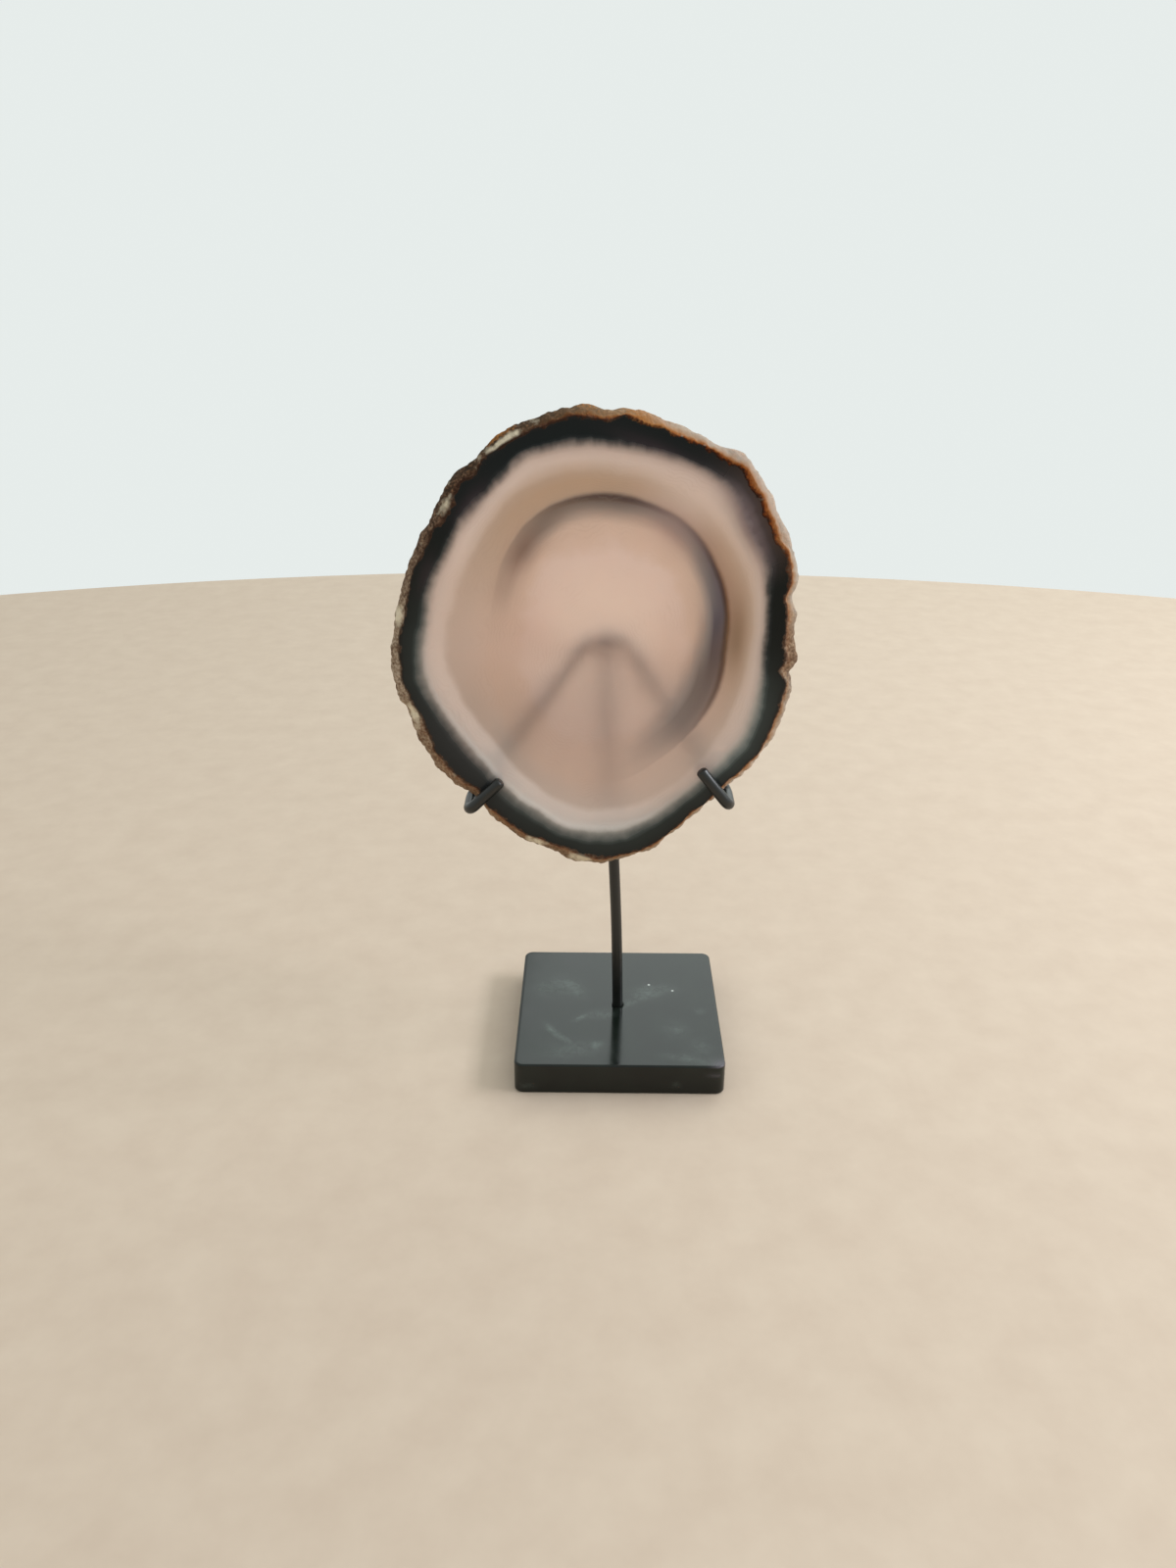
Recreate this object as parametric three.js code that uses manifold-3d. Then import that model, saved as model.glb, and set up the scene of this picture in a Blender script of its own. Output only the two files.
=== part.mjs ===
// An agate slice in its stand: a square black base, a leaning stem, a cradle bent from one rod,
// and the slice, which stands in the cradle's two hooks and leans back on the cradle's top.
// Millimetres. +Z is up, +X is to the right seen from the front, and the slice faces -Y.
// The origin is the centre of the base's underside.
import * as THREE from "three";
import { mergeVertices } from "three/addons/utils/BufferGeometryUtils.js";
import Module from "manifold-3d";

const wasm = await Module();
wasm.setup();

// Clear space between pieces that touch on the real object.
const GAP = 0.3;

// Base plate, with the depth of the blind hole that takes the stem.
const BASE_SIDE = 80;
const BASE_HEIGHT = 12.8;
const BASE_CORNER_RADIUS = 3.5;
const BASE_EDGE_RADIUS = 0.8;
const CORNER_STEPS = 4;
const EDGE_STEPS = 3;
const SOCKET_DEPTH = 9;

// Both rods are 4 mm round bar under a coat of black paint.
const ROD_RADIUS = 2.1;
const ROD_SIDES = 12;
const STEM_STEPS = 12;
const STEM_BACK = 2 * ROD_RADIUS + GAP;
const BEND_STEP_DEGREES = 18;

// Stem: points on its centre line, from the bottom of its hole to its top behind the arch. It leans
// left, and back by enough to pass behind the cradle.
const STEM_POINTS = [
  [-0.1, 0, BASE_HEIGHT - SOCKET_DEPTH],
  [-1.3, 1.1, 50],
  [-4.1, 2.6, 108],
  [-6.8, STEM_BACK, 168.6],
];

// Bead of weld under the arch: its half width, depth and height, and its middle from the stem's top.
const WELD_SIZE = [6, 3.3, 3.7];
const WELD_FORWARD = 3.4;
const WELD_DOWN = 3;
const WELD_STEPS = [16, 10];

// Cradle: depth of the hooks from the arms to their front legs, and where the rod turns.
const HOOK_DEPTH = 14;
const CRADLE_CORNERS = [
  { at: [-43.9, -HOOK_DEPTH, 118] },
  { at: [-56, -HOOK_DEPTH, 106], bend: 3.5 },
  { at: [-56, 0, 106.4], bend: 3.5 },
  { at: [-5.7, 0, 176.4], bend: 10.8 },
  { at: [14, 1.8, 145.3], bend: 40 },
  { at: [38.9, 0, 108.8], bend: 3.5 },
  { at: [38.9, -HOOK_DEPTH, 108.4], bend: 3.5 },
  { at: [27.7, -HOOK_DEPTH, 122.8] },
];

// Slice: thickness, lean back from upright in degrees, and where its centre is.
const SLICE_THICKNESS = 5.5;
const SLICE_LEAN = 3.5;
const SLICE_CENTRE_X = -10;
const SLICE_CENTRE_Z = 165;

// The widest outline of the slice, [right, up] from its centre, anticlockwise from the right.
const OUTLINE = [
  [70, 2], [69.5, 8], [70, 14], [68, 19], [69.5, 25], [68.5, 33], [65.5, 40], [60.5, 49],
  [56, 58], [50, 65.5], [40.5, 69.5], [30, 74.5], [19, 78.5], [9, 81.5], [4, 80.5], [-5, 82],
  [-14.5, 80], [-22.5, 77.5], [-31.5, 73], [-39, 67.5], [-42, 63.5], [-47.5, 60.5], [-52, 53],
  [-58.5, 42.5], [-62.5, 34.5], [-67, 24], [-69.5, 13.5], [-72, 3], [-72.5, -8], [-70.5, -17.5],
  [-67.5, -25], [-63, -35.5], [-57.5, -45.5], [-51.5, -51], [-46, -54], [-41, -61], [-34, -67.5],
  [-24.5, -74], [-13.5, -79], [-3, -82.5], [8, -81.5], [19, -77.5], [27.5, -71.5], [37.5, -62],
  [49, -51], [58, -42], [65, -31], [68, -20], [70.5, -12], [68.5, -7.5], [71, -3.5],
];

// How far the sloping skin sets the front face in from that outline, every 20 degrees.
const SKIN_WIDTH = [5, 3.4, 3.2, 3, 3, 4, 3.8, 3.6, 3.4, 4, 5.4, 5, 3.6, 5, 3.2, 2.6, 3, 3.4];

// The skin from front to back: depth through the slice, and how much of its width is reached.
const SKIN_PROFILE = [
  { depth: 0, out: 0 },
  { depth: 0.16, out: 0.42 },
  { depth: 0.38, out: 0.8 },
  { depth: 0.62, out: 1 },
  { depth: 0.84, out: 1 },
  { depth: 1, out: 0.84 },
];

// Lumps of the skin: waves round the rim, height, and how far each wave turns through the depth.
const SKIN_LUMPS = [
  { waves: 19, height: 0.26, turn: 2.2 },
  { waves: 31, height: 0.22, turn: -3.1 },
  { waves: 47, height: 0.2, turn: 4.3 },
];
const RIM_STEPS = 288;

// Colours as seen in daylight.
const BLACK_MARBLE = { color: 0x3a3d3b, roughness: 0.2, metalness: 0 };
const BLACK_STEEL = { color: 0x2c2b28, roughness: 0.4, metalness: 0.3 };
const AGATE = { color: 0xc0a892, roughness: 0.15, metalness: 0 };

// A closed geometry as a solid that can be joined and cut.
function toSolid(geometry) {
  const bare = geometry.clone();
  bare.deleteAttribute("normal");
  bare.deleteAttribute("uv");
  const merged = mergeVertices(bare);
  return new wasm.Manifold(new wasm.Mesh({
    numProp: 3,
    vertProperties: new Float32Array(merged.attributes.position.array),
    triVerts: new Uint32Array(merged.index.array),
  }));
}

function toGeometry(solid) {
  const mesh = solid.getMesh();
  const geometry = new THREE.BufferGeometry();
  geometry.setAttribute("position", new THREE.BufferAttribute(mesh.vertProperties, 3));
  geometry.setIndex(new THREE.BufferAttribute(mesh.triVerts, 1));
  return geometry;
}

// A bent bar's centre line, given as stations: none are needed along the straight runs.
class StationCurve extends THREE.Curve {
  constructor(stations) {
    super();
    this.stations = stations;
  }

  getUtoTmapping(u) {
    return u;
  }

  getPoint(t, target = new THREE.Vector3()) {
    const place = t * (this.stations.length - 1);
    const index = Math.min(Math.floor(place), this.stations.length - 2);
    return target.lerpVectors(this.stations[index], this.stations[index + 1], place - index);
  }

  getTangent(t, target = new THREE.Vector3()) {
    const last = this.stations.length - 1;
    const here = Math.round(t * last);
    const direction = (a, b) => this.stations[b].clone().sub(this.stations[a]).normalize();
    const before = direction(Math.max(here - 1, 0), Math.max(here, 1));
    const after = direction(Math.min(here, last - 1), Math.min(here + 1, last));
    return target.copy(before).add(after).normalize();
  }
}

// Stations of a bar that runs straight between its corners and turns each on an arc.
function bentStations(corners, degreesPerStep) {
  const points = corners.map((corner) => new THREE.Vector3(...corner.at));
  const stations = [points[0]];
  for (let i = 1; i < points.length - 1; i += 1) {
    const back = points[i - 1].clone().sub(points[i]).normalize();
    const ahead = points[i + 1].clone().sub(points[i]).normalize();
    const inside = back.angleTo(ahead);
    const turned = Math.PI - inside;
    const tangent = corners[i].bend / Math.tan(inside / 2);
    const toCentre = back.clone().add(ahead).normalize();
    const centre = points[i].clone().addScaledVector(toCentre, corners[i].bend / Math.sin(inside / 2));
    const first = points[i].clone().addScaledVector(back, tangent).sub(centre);
    const last = points[i].clone().addScaledVector(ahead, tangent).sub(centre);
    const steps = Math.ceil(THREE.MathUtils.radToDeg(turned) / degreesPerStep);
    for (let k = 0; k <= steps; k += 1) {
      const part = k / steps;
      const station = centre.clone();
      station.addScaledVector(first, Math.sin((1 - part) * turned) / Math.sin(turned));
      station.addScaledVector(last, Math.sin(part * turned) / Math.sin(turned));
      stations.push(station);
    }
  }
  stations.push(points[points.length - 1]);
  return stations;
}

// A round bar along a curve. Its section has twice as many sides as curveSegments says.
function roundBar(curve, radius, steps, sides) {
  const section = new THREE.Shape();
  section.absarc(0, 0, radius, 0, 2 * Math.PI, false);
  return new THREE.ExtrudeGeometry(section, {
    steps,
    curveSegments: sides / 2,
    bevelEnabled: false,
    extrudePath: curve,
  });
}

const cradleStations = bentStations(CRADLE_CORNERS, BEND_STEP_DEGREES);

function cradleBar(radius) {
  const steps = cradleStations.length - 1;
  return roundBar(new StationCurve(cradleStations), radius, steps, ROD_SIDES);
}

function stemCurve() {
  return new THREE.CatmullRomCurve3(STEM_POINTS.map((point) => new THREE.Vector3(...point)));
}

// The stem with the bead of weld that holds its top end to the back of the cradle's arch.
function stemWithWeld() {
  const stem = toSolid(roundBar(stemCurve(), ROD_RADIUS, STEM_STEPS, ROD_SIDES));
  const top = stemCurve().getPoint(1);
  const bead = new THREE.SphereGeometry(1, ...WELD_STEPS);
  bead.scale(...WELD_SIZE);
  bead.translate(top.x, top.y - WELD_FORWARD, top.z - WELD_DOWN);
  const roomForCradle = toSolid(cradleBar(ROD_RADIUS + GAP));
  return toGeometry(stem.add(toSolid(bead)).subtract(roomForCradle));
}

// A rounded square plate with eased edges and a blind hole that follows the stem's foot.
function basePlate() {
  const flat = BASE_SIDE / 2 - BASE_EDGE_RADIUS;
  const corner = BASE_CORNER_RADIUS - BASE_EDGE_RADIUS;
  const square = new THREE.Shape();
  square.moveTo(-flat + corner, -flat);
  square.lineTo(flat - corner, -flat);
  square.absarc(flat - corner, -flat + corner, corner, -Math.PI / 2, 0, false);
  square.absarc(flat - corner, flat - corner, corner, 0, Math.PI / 2, false);
  square.absarc(-flat + corner, flat - corner, corner, Math.PI / 2, Math.PI, false);
  square.absarc(-flat + corner, -flat + corner, corner, Math.PI, 1.5 * Math.PI, false);
  const plate = new THREE.ExtrudeGeometry(square, {
    depth: BASE_HEIGHT - 2 * BASE_EDGE_RADIUS,
    curveSegments: CORNER_STEPS,
    bevelThickness: BASE_EDGE_RADIUS,
    bevelSize: BASE_EDGE_RADIUS,
    bevelSegments: EDGE_STEPS,
  });
  plate.translate(0, 0, BASE_EDGE_RADIUS);
  const foot = stemCurve().getPoint(0);
  const direction = stemCurve().getTangent(0);
  const bottom = foot.clone().addScaledVector(direction, -GAP);
  const above = foot.clone().addScaledVector(direction, BASE_HEIGHT);
  const hole = roundBar(new THREE.LineCurve3(bottom, above), ROD_RADIUS + GAP, 1, 2 * ROD_SIDES);
  return toGeometry(toSolid(plate).subtract(toSolid(hole)));
}

// A value from a closed list of evenly spaced ones, blended smoothly round the turn.
function roundTurn(values, turn) {
  const place = (turn / (2 * Math.PI)) * values.length;
  const index = Math.floor(place);
  const blend = THREE.MathUtils.smoothstep(place - index, 0, 1);
  const from = values[index % values.length];
  const to = values[(index + 1) % values.length];
  return THREE.MathUtils.lerp(from, to, blend);
}

function skinLump(turn, depth) {
  const wave = (lump) => lump.height * Math.sin(lump.waves * turn + lump.turn * depth + lump.waves);
  return SKIN_LUMPS.reduce((sum, lump) => sum + wave(lump), 0);
}

// The slice in its own frame: front face towards -Y, up its face +Z, centre at the origin.
function agateSlice() {
  const outline = new THREE.CatmullRomCurve3(
    OUTLINE.map(([right, up]) => new THREE.Vector3(right, 0, up)),
    true,
    "centripetal",
  );
  const edge = outline.getSpacedPoints(RIM_STEPS).slice(0, RIM_STEPS);
  const positions = [];
  const indices = [];
  SKIN_PROFILE.forEach(({ depth, out }, row) => {
    edge.forEach((point) => {
      const turn = (Math.atan2(point.z, point.x) + 2 * Math.PI) % (2 * Math.PI);
      const radius = Math.hypot(point.x, point.z);
      const inset = (1 - out) * roundTurn(SKIN_WIDTH, turn);
      const scale = (radius - inset + skinLump(turn, depth)) / radius;
      const y = (depth - 0.5) * SLICE_THICKNESS;
      positions.push(point.x * scale, y, point.z * scale);
    });
    for (let i = 0; i < RIM_STEPS && row > 0; i += 1) {
      const next = (i + 1) % RIM_STEPS;
      const front = (row - 1) * RIM_STEPS;
      const behind = row * RIM_STEPS;
      indices.push(front + i, behind + next, front + next);
      indices.push(front + i, behind + i, behind + next);
    }
  });
  addFace(positions, indices, 0, false);
  addFace(positions, indices, (SKIN_PROFILE.length - 1) * RIM_STEPS, true);
  const geometry = new THREE.BufferGeometry();
  geometry.setAttribute("position", new THREE.Float32BufferAttribute(positions, 3));
  geometry.setIndex(indices);
  return geometry;
}

// A flat polished face over the ring of points that starts at one index.
function addFace(positions, indices, start, facesBack) {
  const ring = [];
  for (let i = start; i < start + RIM_STEPS; i += 1) {
    ring.push(new THREE.Vector2(positions[3 * i], positions[3 * i + 2]));
  }
  for (const [a, b, c] of THREE.ShapeUtils.triangulateShape(ring, [])) {
    indices.push(start + a, start + (facesBack ? c : b), start + (facesBack ? b : c));
  }
}

// Half the slice's thickness in front of the arch, then along the face to the centre's height.
function placeSlice(mesh) {
  const lean = THREE.MathUtils.degToRad(SLICE_LEAN);
  const archTop = Math.max(...cradleStations.map((station) => station.z));
  const fromArch = ROD_RADIUS + GAP + SLICE_THICKNESS / 2;
  const alongFace = (SLICE_CENTRE_Z - archTop - fromArch * Math.sin(lean)) / Math.cos(lean);
  mesh.rotation.x = -lean;
  mesh.position.set(
    SLICE_CENTRE_X,
    alongFace * Math.sin(lean) - fromArch * Math.cos(lean),
    SLICE_CENTRE_Z,
  );
}

function piece(name, geometry, look) {
  const mesh = new THREE.Mesh(geometry, new THREE.MeshStandardMaterial(look));
  mesh.name = name;
  return mesh;
}

const model = new THREE.Group();
model.add(piece("base", basePlate(), BLACK_MARBLE));
model.add(piece("stem", stemWithWeld(), BLACK_STEEL));
model.add(piece("cradle", cradleBar(ROD_RADIUS), BLACK_STEEL));
const slice = piece("agate_slice", agateSlice(), AGATE);
placeSlice(slice);
model.add(slice);

export default model;
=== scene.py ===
# %% [markdown]
# # A slice of agate in a bent rod stand
#
# The real object is a natural stone held by a made one. A nodule of agate was sawn across into a slice
# five to six millimetres thick, its two faces were polished, and its rough skin was left on the rim.
# The slice stands in the two hooks of a bent steel rod, welded to a stem in a square stone base.
#
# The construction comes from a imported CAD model, which is loaded first. It fixes where everything is.
# What follows gives each piece the surface that the eye expects, one piece at a time.

# %% Load the frame
import math

import bpy
import numpy as np
from mathutils import Matrix, Vector, noise


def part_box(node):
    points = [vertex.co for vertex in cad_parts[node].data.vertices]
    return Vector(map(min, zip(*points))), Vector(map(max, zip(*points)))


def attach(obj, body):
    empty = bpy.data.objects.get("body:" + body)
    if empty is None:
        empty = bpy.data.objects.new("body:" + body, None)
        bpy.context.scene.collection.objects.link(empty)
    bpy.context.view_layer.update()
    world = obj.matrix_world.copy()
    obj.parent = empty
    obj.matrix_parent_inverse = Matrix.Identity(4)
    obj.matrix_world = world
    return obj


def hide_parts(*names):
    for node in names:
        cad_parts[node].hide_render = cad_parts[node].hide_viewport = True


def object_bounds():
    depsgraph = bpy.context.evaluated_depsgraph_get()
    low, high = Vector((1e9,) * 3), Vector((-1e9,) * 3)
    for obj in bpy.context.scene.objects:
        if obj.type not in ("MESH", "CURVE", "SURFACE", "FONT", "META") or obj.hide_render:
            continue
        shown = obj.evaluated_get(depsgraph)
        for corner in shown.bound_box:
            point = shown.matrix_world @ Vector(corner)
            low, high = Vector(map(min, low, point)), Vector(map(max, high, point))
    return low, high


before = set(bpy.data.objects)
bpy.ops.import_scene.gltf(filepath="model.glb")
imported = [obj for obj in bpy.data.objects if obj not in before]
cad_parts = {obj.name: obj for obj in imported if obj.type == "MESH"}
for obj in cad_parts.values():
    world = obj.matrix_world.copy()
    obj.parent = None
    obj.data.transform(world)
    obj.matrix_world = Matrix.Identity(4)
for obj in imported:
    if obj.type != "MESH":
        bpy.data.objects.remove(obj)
cad_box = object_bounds()
MM = 0.001
cad_size = [round((high - low) / MM, 1) for low, high in zip(*cad_box)]
print("CAD pieces:", sorted(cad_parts), "overall size in mm:", cad_size)

# %% [markdown]
# ## Small helpers
#
# Colours are written as they look on a screen, as sRGB hex values, but light adds up in linear
# numbers, so one function converts them. Materials are graphs of nodes, so one function adds a node,
# sets it up and links what feeds it. Every mesh here is a stack of closed rings of points, so one
# function joins such rings with faces, and another turns points and faces into an object.

# %% Colours from sRGB hex to linear light
def linear(hex_colour):
    """The light that a screen colour stands for, by the sRGB curve."""
    channels = [int(hex_colour[i:i + 2], 16) / 255 for i in (1, 3, 5)]
    light = [c / 12.92 if c <= 0.04045 else ((c + 0.055) / 1.055) ** 2.4 for c in channels]
    return (*light, 1.0)


print("middle grey #808080 is", round(linear("#808080")[0], 3), "in linear light")

# %% Nodes, with their settings and links
def add(material, kind, inputs=None, stops=None, **settings):
    """Adds a node. An input is a number, a colour, a socket, or a node that feeds it."""
    tree = material.node_tree
    node = tree.nodes.new("ShaderNode" + kind)
    for name, value in settings.items():
        setattr(node, name, value)
    for place, colour in stops or []:
        ramp = node.color_ramp.elements
        stop = ramp.new(place)
        stop.color = linear(colour)
    if stops:
        ramp.remove(ramp[0])
        ramp.remove(ramp[len(ramp) - 1])
    for name, value in (inputs or {}).items():
        if isinstance(value, bpy.types.Node):
            in_use = [socket for socket in value.outputs if socket.enabled]
            value = value.outputs.get("Fac") or in_use[0]
        if isinstance(value, bpy.types.NodeSocket):
            tree.links.new(value, node.inputs[name])
        else:
            node.inputs[name].default_value = value
    return node


def new_material(name):
    material = bpy.data.materials.new(name)
    material.use_nodes = True
    material.node_tree.nodes.clear()
    return material


paper = new_material("pale_matt_card")
print("first material:", paper.name, "with", len(paper.node_tree.nodes), "nodes so far")

# %% Meshes, from rings of points in millimetres
def joined_rings(ring_count, around):
    """Faces that join each ring of points to the next, and cap the first and the last.

    Seen from outside the first ring, the points of every ring run anticlockwise.
    """
    faces = []
    for ring in range(ring_count - 1):
        a, b = ring * around, (ring + 1) * around
        for i in range(around):
            j = (i + 1) % around
            faces.append((a + i, b + i, b + j, a + j))
    first = tuple(range(around))
    last = tuple(range((ring_count - 1) * around, ring_count * around))
    return faces + [first, last[::-1]]


def mesh_piece(name, points_mm, faces, material):
    """A smoothly shaded object in one material, linked to the scene."""
    mesh = bpy.data.meshes.new(name)
    mesh.from_pydata([tuple(p) for p in np.asarray(points_mm) * MM], [], faces)
    mesh.validate()
    mesh.polygons.foreach_set("use_smooth", [True] * len(mesh.polygons))
    mesh.materials.append(material)
    piece = bpy.data.objects.new(name, mesh)
    bpy.context.scene.collection.objects.link(piece)
    print(f"{name}: {len(mesh.vertices)} points, {len(mesh.polygons)} faces")
    return piece


print("two rings of 12 points are joined and capped by", len(joined_rings(2, 12)), "faces")

# %% [markdown]
# ## The camera
#
# The photograph was taken from in front and above, tilted down. The camera's place and angles were
# worked out from the corners of the square base. Its lens is a wide one, given here as a focal length
# in pixels of the 1200 by 1600 frame.

# %% Set the camera
FRAME_HEIGHT_PX = 1600
FOCAL_PX = 1217
CAMERA_MM = (-9.2, -406.0, 292.2)
TILT_DOWN, TURN, ROLL = (math.radians(a) for a in (24.06, -0.49, 0.22))
SENSOR = 36.0
NEAREST_MM = 10

forward = Vector((
    math.sin(TURN) * math.cos(TILT_DOWN),
    math.cos(TURN) * math.cos(TILT_DOWN),
    -math.sin(TILT_DOWN),
))
level = Vector((math.cos(TURN), -math.sin(TURN), 0))
overhead = level.cross(forward)
right = level * math.cos(ROLL) + overhead * math.sin(ROLL)
up = overhead * math.cos(ROLL) - level * math.sin(ROLL)

camera = bpy.data.objects.new("camera", bpy.data.cameras.new("camera"))
bpy.context.scene.collection.objects.link(camera)
camera.data.sensor_width = SENSOR
camera.data.lens = SENSOR * FOCAL_PX / FRAME_HEIGHT_PX
camera.data.clip_start = NEAREST_MM * MM
camera.matrix_world = Matrix((right, up, -forward)).transposed().to_4x4()
camera.location = Vector(CAMERA_MM) * MM
bpy.context.scene.camera = camera
print("lens:", round(camera.data.lens, 1), "mm on a sensor", SENSOR, "mm long")

# %% [markdown]
# ## The studio
#
# The floor is a plain pale disc of matt card, which gives no reflections, only the faint mottle of its
# fibres. A pale sky gives soft light from all round, a little dimmer behind the camera. Agate is seen
# partly by the light that comes through it, so the sky and the floor behind it matter as much as the
# lamps. One wide soft lamp stands high behind, where the polished base mirrors it. A smaller one
# stands high at the right: it draws a bright line along the right side of every bar and throws a soft
# shadow to the left.

# %% Pale matt card
FLOOR_RADIUS = 1600
MOTTLES_ACROSS = 180.0
CARD_ROUGHNESS = 0.9
fibres = add(paper, "TexNoise", {"Scale": MOTTLES_ACROSS, "Detail": 3.0, "Roughness": 0.6})
tone = add(paper, "ValToRGB", {"Fac": fibres}, stops=[(0.3, "#CFBBA7"), (0.7, "#D5C2AE")])
paper_shader = add(paper, "BsdfPrincipled", {"Base Color": tone, "Roughness": CARD_ROUGHNESS})
add(paper, "OutputMaterial", {"Surface": paper_shader})
print("the card's mottle is", round(2 * FLOOR_RADIUS / MOTTLES_ACROSS), "mm from crest to crest")

# %% Floor
FLOOR_MIDDLE_Y = -830
FLOOR_DROP = 12
FLOOR_SIDES = 180
floor_points = []
for drop in (0, FLOOR_DROP):
    for side in range(FLOOR_SIDES):
        a = 2 * math.pi * side / FLOOR_SIDES
        out_x, out_y = FLOOR_RADIUS * math.cos(a), FLOOR_RADIUS * math.sin(a)
        floor_points.append((out_x, FLOOR_MIDDLE_Y + out_y, -drop))
# The underside is never seen, so its cap is left off.
floor = mesh_piece("floor", floor_points, joined_rings(2, FLOOR_SIDES)[:-1], paper)
floor.data.polygons.foreach_set("use_smooth", [False] * len(floor.data.polygons))

# %% Soft lamps
def soft_lamp(name, place_mm, aim_mm, size_mm, watts, colour):
    lamp = bpy.data.objects.new(name, bpy.data.lights.new(name, "AREA"))
    lamp.data.shape = "RECTANGLE"
    lamp.data.size, lamp.data.size_y = (side * MM for side in size_mm)
    lamp.data.energy = watts
    lamp.data.color = linear(colour)[:3]
    lamp.location = Vector(place_mm) * MM
    lamp.rotation_euler = (Vector(aim_mm) - Vector(place_mm)).to_track_quat("-Z", "Y").to_euler()
    bpy.context.scene.collection.objects.link(lamp)
    print(f"{name}: {watts} W over {size_mm} mm")


soft_lamp("back_light", place_mm=(800, 1250, 1050), aim_mm=(0, 0, 0),
          size_mm=(2200, 1200), watts=9.6, colour="#EEF8F4")
soft_lamp("side_light", place_mm=(1050, -60, 820), aim_mm=(0, 0, 120),
          size_mm=(620, 300), watts=9.0, colour="#F4F7FF")

# %% Pale sky
BACK_GLOW = 0.93
FRONT_GLOW = 0.62
SKY_TINT = "#EEF4F2"
sky = bpy.data.worlds.new("soft_pale_sky")
sky.use_nodes = True
sky.node_tree.nodes.clear()
towards = add(sky, "TexCoord")
parts = add(sky, "SeparateXYZ", {"Vector": towards.outputs["Generated"]})
glow = add(sky, "MapRange", {
    "Value": parts.outputs["Y"], "From Min": -1.0, "From Max": 0.6,
    "To Min": FRONT_GLOW, "To Max": BACK_GLOW})
soft_light = add(sky, "Background", {"Color": linear(SKY_TINT), "Strength": glow})
add(sky, "OutputWorld", {"Surface": soft_light})
bpy.context.scene.world = sky
bpy.context.scene.view_settings.view_transform = "Standard"
print("the sky glows with strength", BACK_GLOW, "at the back and", FRONT_GLOW, "behind the camera")

# %% [markdown]
# ## The slice: its shape
#
# A nodule of agate grows inwards in layers, each one lining the hollow that the last one left. So
# every band of the cut face is a closed ring that roughly repeats the outline, and the natural way to
# build the slice is a round grid: rings of points from the middle out to the rim, round the rough
# skin, and back to the middle behind. Each point stores how deep in the layers it lies, as a number
# called `layer`, and the material turns that number into bands.
#
# The rim itself is measured on the CAD solid, so the fine mesh fits where the plain one stands.

# %% Measure the slice in its own plane
MIDDLE_X, MIDDLE_Z = -10, 165
FACING_FRONT = -0.9
cad_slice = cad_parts["agate_slice"]
cad_points = np.array([v.co for v in cad_slice.data.vertices]) / MM
front_faces = [p for p in cad_slice.data.polygons if p.normal.y < FACING_FRONT]
inward = -np.array(max(front_faces, key=lambda p: p.area).normal)
face_up = np.array([0, -inward[2], inward[1]])
along = cad_points @ inward
front_depth, thickness = along.min(), along.max() - along.min()
middle_y = (front_depth + thickness / 2 - MIDDLE_Z * inward[2]) / inward[1]
middle = np.array([MIDDLE_X, middle_y, MIDDLE_Z])
lean = math.degrees(math.atan2(face_up[1], face_up[2]))
print(f"thickness {thickness:.2f} mm, leaning back {lean:.2f} degrees")

# %% Read the rim, row by row through the thickness
AROUND = 720
SAME_ROW = 0.006
angle = np.arange(AROUND) * 2 * math.pi / AROUND
from_middle = cad_points - middle
cad_depth = (from_middle @ inward) / thickness + 0.5
cad_right, cad_up = from_middle[:, 0], from_middle @ face_up
rim_depths = np.unique(np.round(cad_depth, 2))
rim_radii = []
for depth in rim_depths:
    row = np.abs(cad_depth - depth) < SAME_ROW
    turn = np.arctan2(cad_up[row], cad_right[row]) % (2 * math.pi)
    radius = np.hypot(cad_up[row], cad_right[row])
    order = np.argsort(turn)
    rim_radii.append(np.interp(angle, turn[order], radius[order], period=2 * math.pi))
rim_radii = np.array(rim_radii)
print("rim rows at depths", rim_depths, "widest radius", round(rim_radii.max(), 1), "mm")

# %% [markdown]
# ## The slice: its layers
#
# From the skin inwards the real slice has a black band, a pale ring, a tan ring and an eye with a
# thin dark line round it. Each border is given by its distance from the middle, in millimetres, at
# equal steps anticlockwise from the right, and a smooth curve joins the values. The black band has
# most corners, so it is given every 10 degrees and the others every 20. The eye is well above and to
# the right of the middle, and its border has straight stretches, as crystal growth gives.

# %% Borders of the layers
def smooth_between(a, b, c, d, t):
    """The share t of the way from b to c, on a curve that comes from a and goes on to d."""
    return b + t / 2 * (c - a + t * (2 * a - 5 * b + 4 * c - d + t * (3 * (b - c) + d - a)))


def round_the_slice(values):
    """A smooth closed curve through values at equal steps anticlockwise from the right."""
    place = np.arange(AROUND) / AROUND * len(values)
    first = np.floor(place).astype(int)
    a, b, c, d = (np.take(values, first + k, mode="wrap") for k in (-1, 0, 1, 2))
    return smooth_between(a, b, c, d, place - first)


BLACK_BAND_END = round_the_slice([
    58.3, 59.8, 62.4, 66.6, 68.2, 72.3, 71.5, 70.8, 70.1, 70.7, 70.8, 71,
    66.8, 65.3, 63.4, 61.9, 62, 61.2, 62.6, 63.4, 61.7, 60, 59.5, 60.8,
    64.2, 65.9, 70.6, 70.8, 70.7, 67.1, 64.3, 63.2, 63.6, 63.7, 62, 59.9])
PALE_RING_END = round_the_slice([
    53.2, 56.5, 58.5, 60.5, 60.3, 61, 59, 53.6, 51.8, 52.6, 50.3, 48.9, 52.3, 58, 59.4, 56.5, 54, 52.3])
EYE_BORDER = round_the_slice([
    44.9, 48, 51.2, 53.6, 53.7, 53, 49.4, 43.2, 38.5, 38, 39, 41.5, 45.5, 48.5, 49, 45.8, 45.1, 45.1])
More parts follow.
